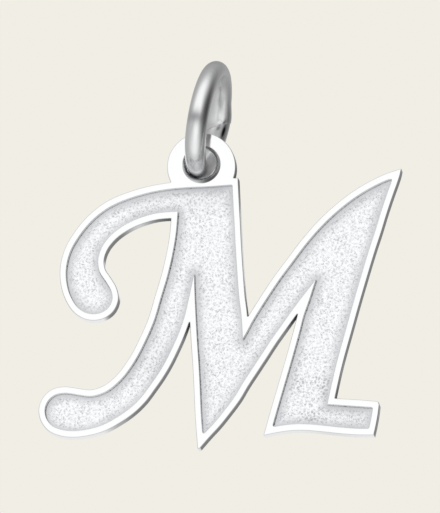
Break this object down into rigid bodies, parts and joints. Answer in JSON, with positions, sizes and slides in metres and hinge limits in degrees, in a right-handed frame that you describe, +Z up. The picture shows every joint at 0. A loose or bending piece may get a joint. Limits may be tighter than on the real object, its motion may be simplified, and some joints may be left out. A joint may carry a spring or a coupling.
{
  "type": "initial pendant",
  "caption": "Cast letter pendant with a raised polished rim round a sunk stippled field, hanging by the eye at its top from a round jump ring.",
  "frame": {"origin": "inside top of the jump ring, where the chain or clasp that carries the pendant lies", "axes": "+Z up along the hanging pendant, +Y from the letter's front face to its back, +X to the right as the letter is read"},
  "size_m": [0.0209, 0.0069, 0.0226],
  "materials": {
    "cast_silver": "cast sterling silver: polished on the rim, the eye and the back, stippled and matt in the sunk field",
    "silver_wire": "drawn sterling silver wire, polished, a little duller than the rim"
  },
  "bodies": {
    "ring": {"jump_ring": "silver_wire"},
    "letter": {"letter_plate": "cast_silver"}
  },
  "joints": [
    {"name": "letter_swing", "type": "hinge", "parent": "ring", "child": "letter", "pos_m": [-0.00043, 0.00005, -0.00221], "axis": [0.974, -0.1196, -0.1925], "range_deg": [-120, 120]}
  ]
}
